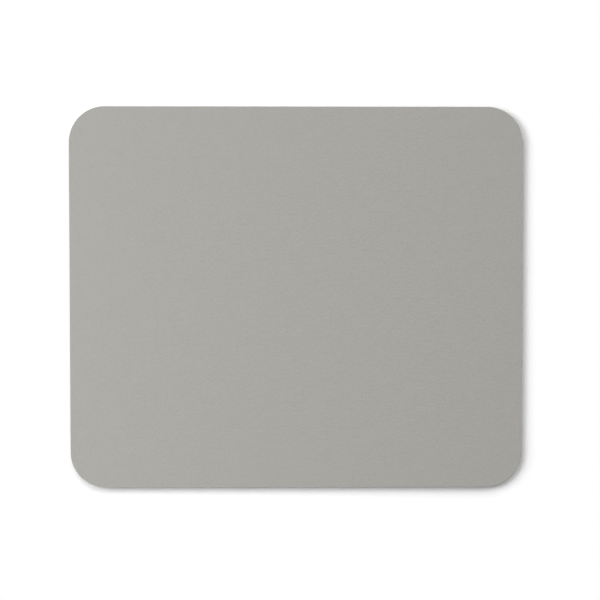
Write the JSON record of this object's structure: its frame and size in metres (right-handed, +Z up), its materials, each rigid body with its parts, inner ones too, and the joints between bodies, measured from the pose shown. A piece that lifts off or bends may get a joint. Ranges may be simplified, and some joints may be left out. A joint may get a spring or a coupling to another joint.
{
  "type": "mouse pad",
  "caption": "Flat rectangular mouse pad with rounded corners: grained synthetic leather over a foam core, on a treaded rubber base.",
  "frame": {"origin": "centre of the underside, on the desk", "axes": "+X along the long side, to the user's right; +Y along the short side, away from the user; +Z up, out of the mousing surface"},
  "size_m": [0.2414, 0.2032, 0.0032],
  "materials": {
    "grained_film": "matt synthetic leather, fine even grain",
    "knit_backing": "fine grey knit, seen only at the cut edge",
    "contact_adhesive": "dried translucent adhesive film",
    "foam_rubber": "dark closed-cell foam, cut face",
    "tread_rubber": "dark matt anti-slip rubber, moulded tread"
  },
  "bodies": {
    "root": {"grip_base": "tread_rubber", "lower_bond": "contact_adhesive", "foam_core": "foam_rubber", "upper_bond": "contact_adhesive", "backing_cloth": "knit_backing", "wear_skin": "grained_film"}
  },
  "joints": []
}
